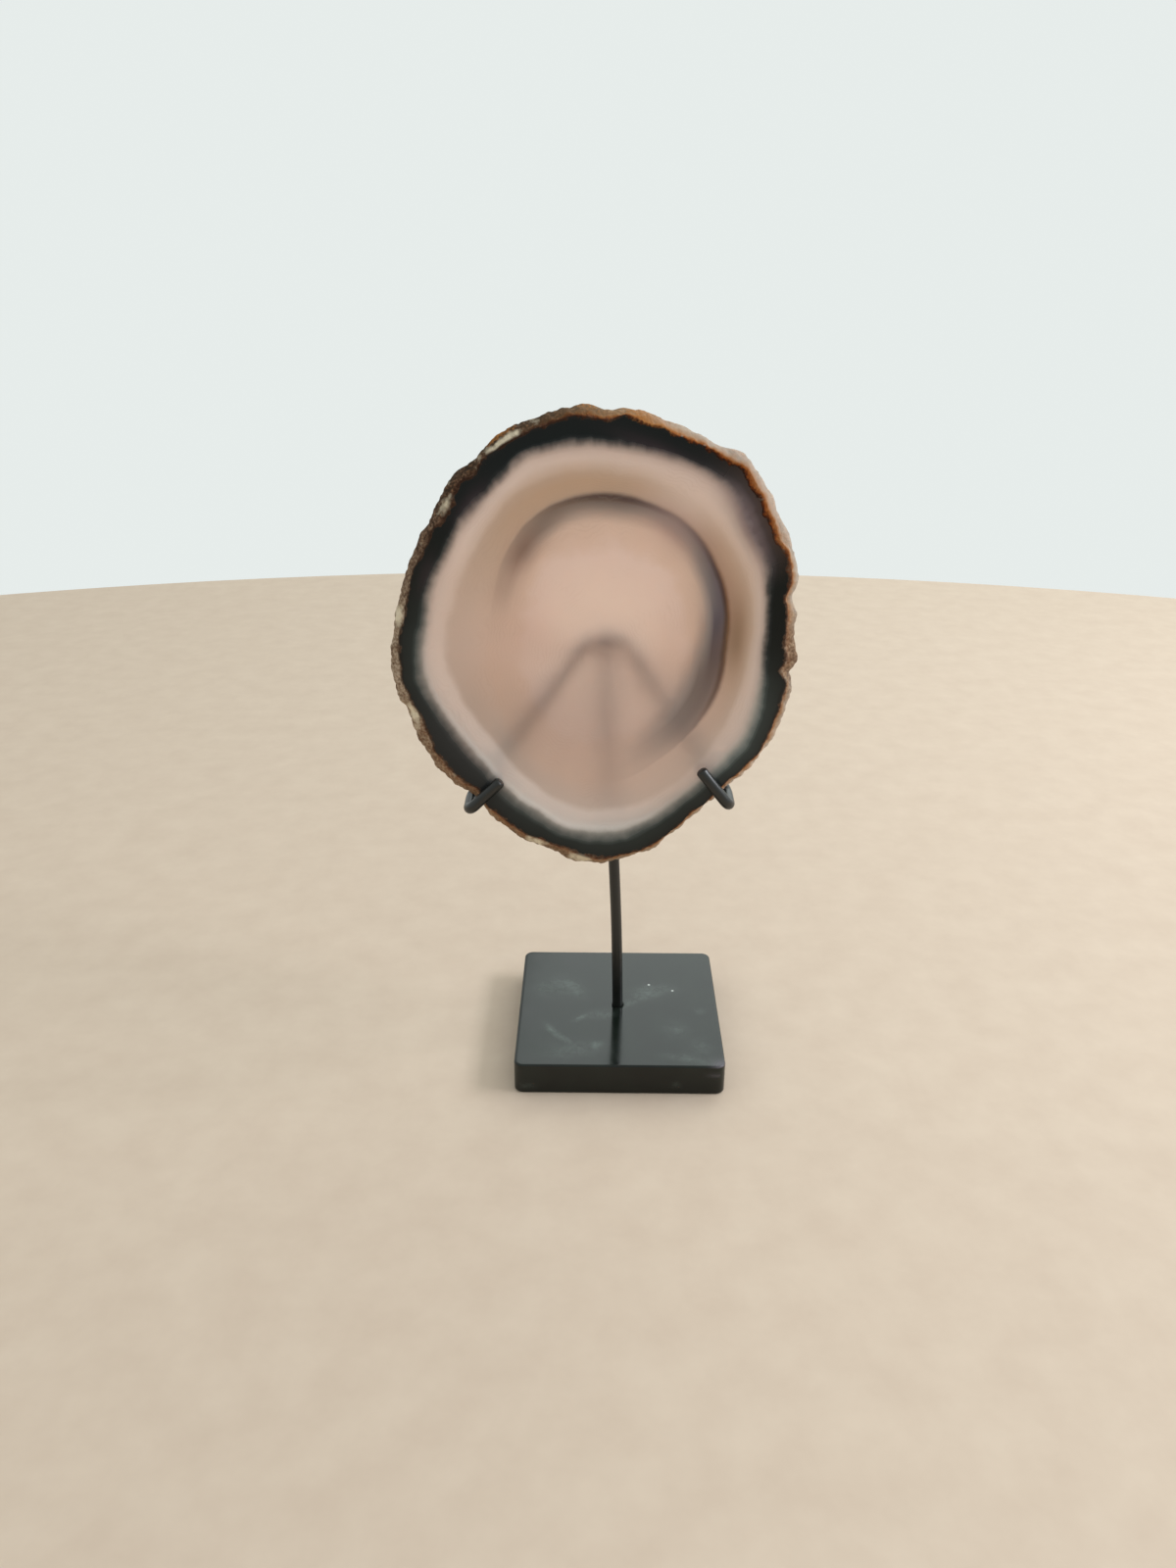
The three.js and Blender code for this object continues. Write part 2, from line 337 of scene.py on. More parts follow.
SKIN, EDGE, PALE, TAN, EYE, CENTRE = 0, 1, 2, 3, 4, 5


def radius_at(layer, edge, spread):
    """Distance from the middle to a layer, on a face with that edge and its borders so far spread."""
    middle_borders = [border + spread for border in (BLACK_BAND_END, PALE_RING_END, EYE_BORDER)]
    borders = [edge, *middle_borders, np.zeros(AROUND)]
    below = min(int(layer), EYE)
    part = layer - below
    return borders[below - 1] * (1 - part) + borders[below] * part


print("pale ring is", round(float((BLACK_BAND_END - PALE_RING_END).mean()), 1), "mm wide on average")

# %% Rings of the front face
FACE_RINGS = 54
INNERMOST = CENTRE - 0.08
face_layers = np.linspace(INNERMOST, EDGE, FACE_RINGS)
front_edge, back_edge = rim_radii[0], rim_radii[-1]
rings = [(radius_at(k, front_edge, 0), np.zeros(AROUND), np.full(AROUND, k)) for k in face_layers]
print(len(rings), "rings, the first about", round(float(rings[0][0].mean()), 1), "mm from the middle")

# %% Rings of the rough skin, in millimetres
SKIN_ROWS = 18
PIT_MM, PIT_DEPTH, PIT_REACH = 2.3, 1.0, 0.9
LUMP_MM, LUMP_DEPTH, LUMP_SHARE = 6, 0.4, 0.6
LUMP_FADE, LUMP_STEP, LUMP_OCTAVES = 0.9, 2.1, 4
EDGE_FADE = 6
widest = rim_radii.max(axis=0)
widest_depth = rim_depths[rim_radii.mean(axis=1).argmax()]


def place_on_slice(x, y, depth):
    """Points in space from places on the face and their share of the thickness."""
    across = np.outer(x, [1, 0, 0]) + np.outer(y, face_up)
    return middle + across + np.outer((depth - 0.5) * thickness, inward)


def bite_at(point):
    """How deep the pits and the hollows between lumps go at a point of the skin."""
    nearest = noise.voronoi(Vector(point) / PIT_MM)[0]
    coarse = noise.fractal(Vector(point) / LUMP_MM, LUMP_FADE, LUMP_STEP, LUMP_OCTAVES)
    return PIT_DEPTH * min(nearest[0], PIT_REACH) ** 2 + LUMP_DEPTH * max(0, LUMP_SHARE + coarse)


bites = []
for row in range(1, SKIN_ROWS):
    depth = np.full(AROUND, row / SKIN_ROWS)
    radius = np.array([np.interp(depth[i], rim_depths, rim_radii[:, i]) for i in range(AROUND)])
    on_rim = place_on_slice(radius * np.cos(angle), radius * np.sin(angle), depth)
    fade = min(1, EDGE_FADE * depth[0], EDGE_FADE * (1 - depth[0]))
    bites.append(fade * np.array([bite_at(point) for point in on_rim]))
    outward = np.ones(AROUND)
    if depth[0] < widest_depth:
        outward = np.clip((radius - front_edge) / (widest - front_edge), 0, 1)
    rings.append((radius - bites[-1], depth, EDGE - outward))
print(len(rings), "rings with the skin, whose deepest pit goes in", round(np.max(bites), 1), "mm")

# %% Rings of the back face
BACK_SKIN = 1.8
BACK_RIM_LAYER = SKIN + 0.45
BORDERS_FOLLOW = 0.9
widening = BORDERS_FOLLOW * (back_edge - BACK_SKIN - front_edge).mean()
rings.append((back_edge, np.ones(AROUND), np.full(AROUND, BACK_RIM_LAYER)))
for k in face_layers[::-1]:
    rings.append((radius_at(k, back_edge - BACK_SKIN, widening), np.ones(AROUND), np.full(AROUND, k)))
print(len(rings), "rings of", AROUND, "points, borders", round(widening, 1), "mm further out behind")

# %% [markdown]
# ## The slice: marks that break the rings
#
# The bands aren't the same all the way round. The line round the eye is dark at the top and right and
# fades at the left, and a violet stain lies inside it. The pale ring is whitest at the left and below.
# The black band is half clear at the upper right. The skin is rusty there, bare and glassy down the
# right side, and dotted with cream elsewhere. What follows the rings is a strength for each 20
# degrees. What doesn't is a soft spot: its place right and up from the middle, half length and half
# width in millimetres, tilt, and strength.

# %% Strengths round the slice
STRENGTHS = {
    "eye_line": [1, 1, 0.7, 0.38, 0.78, 0.42, 0, 0, 0, 0, 0, 0, 0, 0, 0, 0, 0.1, 0.7],
    "stain": [1, 1, 0.92, 0.64, 1, 0.9, 0.62, 0.22, 0.08, 0, 0, 0, 0, 0, 0.05, 0.38, 0.76, 0.9],
    "violet": [0.55, 1, 0.8, 0.35, 0.15, 0, 0, 0, 0, 0, 0, 0, 0, 0, 0, 0.1, 0.3, 0.35],
    "tan_ring": [0.6, 0.6, 0.45, 0.1, 0.6, 0.7, 0.7, 0.55, 0.42,
                 0.42, 0.56, 0.6, 0.5, 0.25, 0.3, 0.4, 0.5, 0.58],
    "golden_ring": [0.6, 0.55, 0.5, 0.1, 0.8, 0.95, 0.75, 0.35, 0.1, 0, 0, 0, 0, 0, 0, 0, 0.1, 0.35],
    "white_ring": [0, 0, 0, 0, 0, 0, 0.35, 0.45, 0.3, 0.5, 0.8, 1, 1, 0.8, 0.6, 0.1, 0, 0],
    "grey_band": [0.1, 0, 0, 0, 0, 0, 0, 0, 0.25, 0.6, 0.25, 0, 0.4, 0.5, 0.6, 0.6, 1, 1],
    "half_clear": [0, 0, 1, 0.1, 0, 0, 0, 0, 0, 0, 0, 0, 0, 0, 0, 0, 0, 0],
    "cloudy": [0.25, 0.1, 0, 0, 0, 0, 0, 0.05, 0.15, 0.35, 0.5, 0.7, 0.9, 1, 0.9, 0.6, 0.6, 0.45],
    "tufts": [0.03, 0.04, 0.04, 0.04, 0.04, 0.04, 0.04, 0.04, 0.035,
              0.025, 0.02, 0.015, 0.01, 0.01, 0.005, 0.01, 0.015, 0.02],
    "bare_skin": [0, 0.6, 0.9, 0.8, 0.1, 0, 0, 0, 0, 0, 0, 0, 0, 0, 0.3, 0.9, 1, 0.5],
    "rust": [0.15, 0.5, 1, 1, 0.75, 0.2, 0.08, 0.05, 0, 0, 0.05, 0.2, 0.35, 0.25, 0.4, 0.5, 0.4, 0.2],
    # skin_painted_light_shade is painted light and shade on the skin: darker along the top, where the
    # backlit rim is in shade, and lighter at the left.
    "skin_painted_light_shade": [0.04, 0.02, 0, -0.04, -0.12, -0.18, -0.16, -0.08, 0.03,
                   0.16, 0.1, 0.03, 0, 0.02, 0, 0, 0.02, 0.04],
}
STAIN_WIDTH = round_the_slice([
    9.4, 7.2, 6.6, 4.8, 6.2, 6.4, 8.6, 7.4, 6, 6, 5, 5, 5, 6, 9, 12, 11.8, 12.3])
EDGE_SHARPNESS = round_the_slice([
    0.65, 0.6, 0.5, 1.1, 0.8, 0.65, 0.6, 0.7, 0.75, 0.57, 0.45, 0.5, 0.4, 0.42, 0.4, 0.36, 0.5, 0.75])
print(len(STRENGTHS), "strengths all round; the stain is up to", round(STAIN_WIDTH.max(), 1), "mm wide")

# %% Soft spots, in millimetres
SPOTS = {
    "brown_smear": [(-25.5, 34.5, 8, 3.6, 58, 0.52), (-32.5, 22, 7, 3, 68, 0.19)],
    "olive": [(48.9, 5, 13, 3.4, 88, 0.6)],
    # painted_shade_veil is painted shade: a soft grey over the lower half that dims the light coming
    # through, where the table behind lies in shadow.
    "painted_shade_veil": [(-9, -27, 35, 21, 0, 0.27)],
    "amber": [(28, -2, 9, 14, 0, 0.14), (-36, -6, 9, 14, 0, 0.1)],
    "rosy": [(-23, 6, 10, 9, 0, 0.15)],
    "mauve": [(26, 42, 11, 4.5, -38, 0.32)],
    "deep_skin": [(-50, 47.5, 6, 5, 50, 0.83), (55, 50, 30, 11, -60, 0.95), (15, 77, 14, 7, -20, 0.3),
                  (-47, 54, 22, 9, 50, 0.25), (-8, -80, 16, 8, 0, 0.5)],
    "plum": [(-42, 50, 8, 3, 50, 0.45), (-58, 26, 7, 2.5, 70, 0.3), (20, 68, 14, 2.5, -20, 0.4)],
    "cream": [(-29.6, 71.2, 10, 1.1, 31, 0.8), (-50.8, 49, 3.5, 1.8, 50, 0.6),
              (-68.5, 12, 3, 1.7, 80, 1.0), (-64.5, -23.5, 3.4, 2, -65, 1.15),
              (-51.5, -47.5, 3, 1.3, -50, 0.6), (-22, -72.5, 4.2, 1.8, -25, 1.1),
              (-5, -79.5, 4.2, 2, -10, 1.2)],
    "golden": [(18, 77.5, 11, 2.2, -22, 1.0), (-2, 82, 6, 1.8, 0, 0.6), (-33, 72, 8, 1.2, 33, 0.9)],
}


def spot_strength(spots, x, y):
    """How strong the spots are together at each place, each one fading from its middle."""
    total = np.zeros(len(x))
    for right_mm, up_mm, half_length, half_width, tilt, strength in spots:
        c, s = math.cos(math.radians(tilt)), math.sin(math.radians(tilt))
        lengthwise = ((x - right_mm) * c + (y - up_mm) * s) / half_length
        sideways = ((y - up_mm) * c - (x - right_mm) * s) / half_width
        total += strength * np.exp(-lengthwise ** 2 - sideways ** 2)
    return np.minimum(total, 1)


print("kinds of soft spot:", ", ".join(SPOTS))

# %% [markdown]
# ## The slice: one mesh with its marks
#
# The rings are joined into one closed mesh. Each point then stores what the material needs to know:
# its layer, how far inside the eye's border it lies in millimetres, and the strength of each mark.
# The layers of a nodule slant a little through a slice, so the eye is narrower on the back face.

# %% Join the rings
radius = np.concatenate([r for r, _, _ in rings])
depth = np.concatenate([d for _, d, _ in rings])
layer_of = np.concatenate([k for _, _, k in rings])
turns = np.tile(angle, len(rings))
x, y = radius * np.cos(turns), radius * np.sin(turns)
agate = new_material("polished_agate")
slice_faces = joined_rings(len(rings), AROUND)
slice_piece = mesh_piece("agate_slice_polished", place_on_slice(x, y, depth), slice_faces, agate)
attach(slice_piece, "root")
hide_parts("agate_slice")

# %% Distances that the marks go by
EYE_NARROWS_MM = 1.5
FEATHER_CIRCLE_MM = 60
FEATHER_STRETCH = 3
EDGE_REACH = 0.35


def on_every_ring(values):
    return np.tile(values, len(rings))


inside_eye = on_every_ring(EYE_BORDER) - EYE_NARROWS_MM * np.round(depth) - radius
into_stain = inside_eye / on_every_ring(STAIN_WIDTH)
feather_way = np.stack([
    FEATHER_CIRCLE_MM * np.cos(turns), FEATHER_CIRCLE_MM * np.sin(turns), radius / FEATHER_STRETCH], 1)
near_edge = np.exp(-((layer_of - PALE) / EDGE_REACH) ** 2)
sharper = (layer_of - PALE) * (on_every_ring(EDGE_SHARPNESS) - 1) * near_edge
print("the eye's middle is", round(float(inside_eye.max()), 1), "mm inside its widest border")

# %% Store the marks on the points
LAYER_DEPTHS_MM = [0, 0, 9, 19, 28, 73]
STAIN_OUT, STAIN_IN = 1.08, 0.6


def store(piece, name, values, kind="FLOAT", key="value"):
    attribute = piece.data.attributes.new(name, kind, "POINT")
    attribute.data.foreach_set(key, np.asarray(values, np.float32).ravel())


def soft_step(values, low, high):
    """Rises smoothly from 0 at one value to 1 at the other."""
    t = np.clip((values - low) / (high - low), 0, 1)
    return t * t * (3 - 2 * t)


FADES = {
    "stain": soft_step(into_stain, STAIN_OUT, STAIN_IN),
    "tan_ring": soft_step(layer_of, EYE + 0.1, TAN + 0.1),
    "golden_ring": soft_step(layer_of, EYE + 0.1, EYE - 0.1),
    "cloudy": soft_step(layer_of, EYE + 0.4, PALE + 0.4),
    "tufts": soft_step(layer_of, PALE + 0.35, PALE),
}
store(slice_piece, "layer", layer_of + sharper)
store(slice_piece, "inside_eye", inside_eye)
store(slice_piece, "growth_mm", np.interp(layer_of, range(CENTRE + 1), LAYER_DEPTHS_MM))
store(slice_piece, "feather_way", feather_way, "FLOAT_VECTOR", "vector")
for name, strengths in STRENGTHS.items():
    store(slice_piece, name, on_every_ring(round_the_slice(strengths)) * FADES.get(name, 1))
for name, spots in SPOTS.items():
    store(slice_piece, name, spot_strength(spots, x, y))
stored = [a.name for a in slice_piece.data.attributes if a.data_type == "FLOAT"]
print(len(stored), "marks on the slice, from", stored[0], "to", stored[-1])

# %% [markdown]
# ## The slice: what agate looks like
#
# Agate is chalcedony, a quartz too fine to see its crystals. It is cloudy rather than clear: light
# goes in, is scattered by the fibres, and leaves soft. So the polished face is a transmitting surface
# that is rough inside, under a glossy coat for the polish, and the rods behind show as soft shadows.
# Its IOR is that of chalcedony, 1.54. The black band holds soot, from sugar burnt in the pores, as
# most black agate does, and lets nothing through. The skin on the rim is dull and never polished.
#
# The colours are laid on as a painter would: the rings first, then the stain of the eye and the line
# round it, then the soft spots and the finest growth lines, and the skin last. Each is a colour and a
# mask that says where it goes.

# %% Marks and unevenness
SPACINGS_MM = {"cloud": 9, "patches": 14, "wander": 16, "border": 3.2, "lumps": 4, "grain": 0.9}
FEATHER_MM = 3.6
NOISE_LOW, NOISE_HIGH = 0.3, 0.7
agate_place = add(agate, "TexCoord").outputs["Object"]
agate_mm = add(agate, "VectorMath", {0: agate_place, "Scale": 1 / MM}, operation="SCALE")
marks = {name: add(agate, "Attribute", attribute_name=name) for name in stored + ["feather_way"]}
patterns = {name: (agate_mm, spacing) for name, spacing in SPACINGS_MM.items()}
patterns["feather"] = (marks["feather_way"].outputs["Vector"], FEATHER_MM)
uneven, swing = {}, {}
for name, (way, spacing) in patterns.items():
    uneven[name] = add(agate, "TexNoise", {"Vector": way, "Scale": 1 / spacing, "Detail": 3.0})
    swing[name] = add(agate, "MapRange", {
        "Value": uneven[name], "From Min": NOISE_LOW, "From Max": NOISE_HIGH,
        "To Min": -1.0, "To Max": 1.0})
print("unevenness at these spacings in mm:", SPACINGS_MM, "and feathers at", FEATHER_MM)

# %% Rings of the dyed stone
# Three sockets of a mix node: how much of the upper colour, the colour below, and the upper colour.
MASK, UNDER, OVER = 0, 6, 7
CLOUD_PUSH = 0.05
pushed = add(agate, "Math", {
    0: swing["cloud"], 1: CLOUD_PUSH, 2: marks["layer"]}, operation="MULTIPLY_ADD")
growth = add(agate, "Math", {
    0: swing["feather"], 1: marks["tufts"], 2: pushed}, operation="MULTIPLY_ADD")
share = add(agate, "Math", {0: growth, 1: float(CENTRE)}, operation="DIVIDE")
dyed_rings = add(agate, "ValToRGB", {"Fac": share}, stops=[
    (0.2, "#181511"), (0.23, "#0E1210"), (0.35, "#0D1312"), (0.375, "#1A1E1E"), (0.387, "#2E302F"),
    (0.4, "#524C49"), (0.416, "#8E847E"), (0.433, "#C2B9B2"), (0.458, "#E4DEDA"), (0.5, "#EEEAE6"),
    (0.6, "#ECE8E2"), (0.7, "#EAE6E0"), (0.79, "#E8E2DA"), (0.81, "#EAE2D8"), (0.853, "#EDE5DC"),
    (0.872, "#F5F1EE"), (0.93, "#FAF8F4")])
print("stops of the dyed rings:", len(dyed_rings.color_ramp.elements))

# %% Grey and half-clear stretches of the black band
grey_rings = add(agate, "ValToRGB", {"Fac": share}, stops=[
    (0.2, "#24201C"), (0.24, "#2C302E"), (0.35, "#343A38"), (0.38, "#4C5452"), (0.4, "#6A7270"),
    (0.42, "#949894"), (0.44, "#BEBCB6"), (0.47, "#E6E2DE"), (0.5, "#F0ECE8")])
undyed_rings = add(agate, "ValToRGB", {"Fac": share}, stops=[
    (0.2, "#22140E"), (0.25, "#422416"), (0.29, "#442C24"), (0.33, "#483634"), (0.4, "#726266"),
    (0.43, "#92878A"), (0.458, "#ACA4A6"), (0.487, "#CAC4C0"), (0.517, "#D6D3CF"), (0.546, "#E6E3DF"),
    (0.58, "#EEEAE6")])
near_band = add(agate, "MapRange", {"Value": growth, "From Min": TAN - 0.1, "From Max": TAN - 0.4})
half_clear = add(agate, "Math", {0: near_band, 1: marks["half_clear"]}, operation="MULTIPLY")
colour = dyed_rings
for mask, stretch in ((marks["grey_band"], grey_rings), (half_clear, undyed_rings)):
    colour = add(agate, "Mix", {MASK: mask, UNDER: colour, OVER: stretch}, data_type="RGBA")
print("stops of the undyed rings:", len(undyed_rings.color_ramp.elements))

# %% White, tan and golden rings
outside_tan = add(agate, "MapRange", {
    "Value": growth, "From Min": TAN + 0.12, "From Max": TAN - 0.12})
white_zone = add(agate, "Math", {0: outside_tan, 1: marks["white_ring"]}, operation="MULTIPLY")
RING_TINTS = {
    "white": ("#FFFEFC", white_zone, PALE + 0.12, PALE + 0.35),
    "tan": ("#D4CCC2", marks["tan_ring"], TAN - 0.1, TAN + 0.08),
    "golden": ("#D6C6AE", marks["golden_ring"], TAN - 0.4, TAN + 0.4),
}
for name, (tint, strength, start, full) in RING_TINTS.items():
    ring_edge = add(agate, "MapRange", {"Value": growth, "From Min": start, "From Max": full})
    mask = add(agate, "Math", {0: ring_edge, 1: strength}, operation="MULTIPLY")
    colour = add(agate, "Mix", {MASK: mask, UNDER: colour, OVER: linear(tint)}, data_type="RGBA")
    print("the", name, "ring starts at layer", start, "and is full from layer", full)

# %% Stain of the eye, by millimetres inside its border
WANDER = 0.35
STAIN_START = -0.5
LINE_MIDDLE = 0.4
inside = add(agate, "Math", {
    0: swing["wander"], 1: WANDER, 2: marks["inside_eye"]}, operation="MULTIPLY_ADD")
past_line = add(agate, "MapRange", {
    "Value": inside, "From Min": STAIN_START, "From Max": LINE_MIDDLE})
stained = add(agate, "Math", {0: past_line, 1: marks["stain"]}, operation="MULTIPLY")
stain_tint = add(agate, "Mix", {
    MASK: marks["violet"], UNDER: linear("#745844"), OVER: linear("#605A6A")}, data_type="RGBA")
colour = add(agate, "Mix", {MASK: stained, UNDER: colour, OVER: stain_tint}, data_type="RGBA")
print("the border of the eye wanders by", WANDER, "mm, and the stain starts at", STAIN_START, "mm")

# %% Line round the eye, in millimetres
LINE_CORE, LINE_HALF = 0.3, 1.9
past_middle = add(agate, "Math", {0: inside, 1: LINE_MIDDLE}, operation="SUBTRACT")
off_line = add(agate, "Math", {0: past_middle}, operation="ABSOLUTE")
on_line = add(agate, "MapRange", {
    "Value": off_line, "From Min": LINE_HALF, "From Max": LINE_CORE}, interpolation_type="SMOOTHSTEP")
line_mask = add(agate, "Math", {0: on_line, 1: marks["eye_line"]}, operation="MULTIPLY")
colour = add(agate, "Mix", {MASK: line_mask, UNDER: colour, OVER: linear("#3E2216")}, data_type="RGBA")
print("the line round the eye is about", 2 * LINE_HALF, "mm wide with its soft edges")

# %% Brown glow just outside the line
GLOW_START, GLOW_PEAK, GLOW_MOST = -8.0, -0.3, 0.5
GLOW_GONE, GLOW_WHOLE = 0.6, -0.2
outside_glow = add(agate, "MapRange", {
    "Value": inside, "From Min": GLOW_START, "From Max": GLOW_PEAK, "To Max": GLOW_MOST})
beyond_line = add(agate, "MapRange", {
    "Value": inside, "From Min": GLOW_GONE, "From Max": GLOW_WHOLE})
glow_shape = add(agate, "Math", {0: outside_glow, 1: beyond_line}, operation="MULTIPLY")
glow_mask = add(agate, "Math", {0: glow_shape, 1: marks["violet"]}, operation="MULTIPLY")
colour = add(agate, "Mix", {MASK: glow_mask, UNDER: colour, OVER: linear("#9A6A40")}, data_type="RGBA")
print("the glow reaches", -GLOW_START, "mm outside the eye")

# %% Soft spots
# Among these tints, painted_shade_veil is painted shade over the lower half, not a colour of the stone.
SPOT_TINTS = {
    "brown_smear": "#88583C", "olive": "#8C7048", "rosy": "#D6BAAE", "mauve": "#B4929A",
    "plum": "#46343A", "painted_shade_veil": "#B4B0B4", "amber": "#C89C70"}
for spot, tint in SPOT_TINTS.items():
    colour = add(agate, "Mix", {MASK: marks[spot], UNDER: colour, OVER: linear(tint)}, data_type="RGBA")
print("painted over the rings:", ", ".join(SPOT_TINTS))

# %% Growth lines too fine to count
FINE_BAND_MM = 1.3
BENT_BY_MM = 2.0
PATCH_EDGE, PATCH_FULL, LINES_MOST = 0.45, 0.7, 0.12
bent_growth = add(agate, "Math", {
    0: swing["cloud"], 1: BENT_BY_MM, 2: marks["growth_mm"]}, operation="MULTIPLY_ADD")
wave_place = add(agate, "Math", {0: bent_growth, 1: 2 * math.pi / FINE_BAND_MM}, operation="MULTIPLY")
wave = add(agate, "Math", {0: wave_place}, operation="SINE")
wave_depth = add(agate, "MapRange", {
    "Value": uneven["patches"], "From Min": PATCH_EDGE, "From Max": PATCH_FULL, "To Max": LINES_MOST})
inner_rings = add(agate, "MapRange", {"Value": growth, "From Min": PALE + 0.1, "From Max": PALE + 0.4})
wave_shown = add(agate, "Math", {0: wave, 1: wave_depth}, operation="MULTIPLY")
wave_mask = add(agate, "Math", {0: wave_shown, 1: inner_rings}, operation="MULTIPLY", use_clamp=True)
colour = add(agate, "Mix", {MASK: wave_mask, UNDER: colour, OVER: linear("#A89C8C")}, data_type="RGBA")
print("fine growth lines every", FINE_BAND_MM, "mm")

# %% Depth in the skin
BORDER_PUSH = 0.13
DEEP_SKIN = -0.36
even_rind = add(agate, "Math", {
    0: marks["deep_skin"], 1: DEEP_SKIN, 2: marks["layer"]}, operation="MULTIPLY_ADD")
rind = add(agate, "Math", {
    0: swing["border"], 1: BORDER_PUSH, 2: even_rind}, operation="MULTIPLY_ADD")
print("the skin's border wanders by", BORDER_PUSH, "of a layer")

# %% Brown and rusty skin
LUMP_TONES = 0.4
RUST_MOTTLE = 0.08
mottled = add(agate, "Mix", {"Factor": LUMP_TONES, "A": uneven["grain"], "B": uneven["lumps"]})
# The skin tone is shifted by painted light and shade: darker along the top, lighter at the left.
skin_tone = add(agate, "Math", {0: mottled, 1: marks["skin_painted_light_shade"]}, operation="ADD")
brown_skin = add(agate, "ValToRGB", {"Fac": skin_tone}, stops=[
    (0.24, "#1E130D"), (0.36, "#3A2A20"), (0.44, "#5C4638"), (0.52, "#765E4C"), (0.62, "#947F6A"),
    (0.74, "#BCA894")])
rust_depth = add(agate, "Math", {0: swing["grain"], 1: RUST_MOTTLE, 2: rind}, operation="MULTIPLY_ADD")
rusty_skin = add(agate, "ValToRGB", {"Fac": rust_depth}, stops=[
    (0.0, "#B0906E"), (0.4, "#BE9268"), (0.6, "#B8783E"), (0.76, "#984E18"), (0.9, "#5A2A0E"),
    (0.99, "#24130C")])
skin = add(agate, "Mix", {MASK: marks["rust"], UNDER: brown_skin, OVER: rusty_skin}, data_type="RGBA")
print("skin tones:", [round(stop.position, 2) for stop in brown_skin.color_ramp.elements])

# %% Golden and cream patches on the skin
RAGGED = 0.4
RAGGED_EDGE, RAGGED_FULL = 0.25, 0.85
for name, tint, pattern in (("golden", "#A8703A", "grain"), ("cream", "#E4D6BC", "border")):
    ragged = add(agate, "Math", {
        0: swing[pattern], 1: RAGGED, 2: marks[name]}, operation="MULTIPLY_ADD")
    patch = add(agate, "MapRange", {"Value": ragged, "From Min": RAGGED_EDGE, "From Max": RAGGED_FULL})
    skin = add(agate, "Mix", {MASK: patch, UNDER: skin, OVER: linear(tint)}, data_type="RGBA")
    print(name, "patches are ragged at", SPACINGS_MM[pattern], "mm")

# %% Bare glassy skin
BARE_UNDER = 0.15
bare_edge = add(agate, "MapRange", {
    "Value": rind, "From Min": EDGE - BARE_UNDER, "From Max": EDGE - 0.4})
bare = add(agate, "Math", {0: bare_edge, 1: marks["bare_skin"]}, operation="MULTIPLY")
glassy_skin = add(agate, "ValToRGB", {"Fac": rind}, stops=[
    (0.0, "#EEE2D2"), (0.25, "#E2CAB2"), (0.5, "#D2A682"), (0.68, "#B07440")])
skin = add(agate, "Mix", {MASK: bare, UNDER: skin, OVER: glassy_skin}, data_type="RGBA")
print("the bare skin starts", BARE_UNDER, "of a layer under the edge")

# %% Dark line where the skin meets the polish
PLAIN_LINE, RUSTY_LINE = 0.85, 0.1
line_depth = add(agate, "MapRange", {
    "Value": marks["rust"], "To Min": PLAIN_LINE, "To Max": RUSTY_LINE})
dark_line = add(agate, "MapRange", {
    "Value": rind, "From Min": EDGE - 0.3, "From Max": EDGE - 0.08, "To Max": line_depth})
skin = add(agate, "Mix", {MASK: dark_line, UNDER: skin, OVER: linear("#3A2418")}, data_type="RGBA")
polished = add(agate, "MapRange", {"Value": rind, "From Min": EDGE - 0.02, "From Max": EDGE + 0.03})
colour = add(agate, "Mix", {MASK: polished, UNDER: skin, OVER: colour}, data_type="RGBA")
print("the line is laid on at", PLAIN_LINE, "but over rust at", RUSTY_LINE)

# %% How much light goes in
MOST_CLEAR, CLOUD_LOSS, STAINED_CLEAR = 0.84, 0.34, 0.45
HALF_CLEAR_SHARE = 0.45
CLOUD_SPREAD = 0.35
BARE_CLEAR, THIN_CLEAR = 0.55, 0.9
clear_from = add(agate, "Math", {
    0: marks["cloudy"], 1: CLOUD_SPREAD, 2: PALE + 0.2}, operation="MULTIPLY_ADD")
undyed = add(agate, "MapRange", {"Value": growth, "From Min": PALE - 0.15, "From Max": clear_from})
partly = add(agate, "Math", {0: half_clear, 1: HALF_CLEAR_SHARE}, operation="MULTIPLY")
pale = add(agate, "Math", {0: undyed, 1: partly}, operation="MAXIMUM")
clear_face = add(agate, "Math", {0: pale, 1: polished}, operation="MULTIPLY")
thin_edge = add(agate, "MapRange", {
    "Value": rind, "From Min": EDGE - 0.4, "From Max": SKIN - 0.2,
    "To Min": BARE_CLEAR, "To Max": THIN_CLEAR})
clear_bare = add(agate, "Math", {0: bare, 1: thin_edge}, operation="MULTIPLY")
clear = add(agate, "Math", {0: clear_face, 1: clear_bare}, operation="MAXIMUM")
through_cloud = add(agate, "Math", {
    0: marks["cloudy"], 1: -CLOUD_LOSS, 2: MOST_CLEAR}, operation="MULTIPLY_ADD")
through_stain = add(agate, "MapRange", {
    "Value": stained, "To Min": through_cloud, "To Max": STAINED_CLEAR})
transmission = add(agate, "Math", {0: clear, 1: through_stain}, operation="MULTIPLY")
print("light let through by the pale rings:", MOST_CLEAR, "and by the stain:", STAINED_CLEAR)

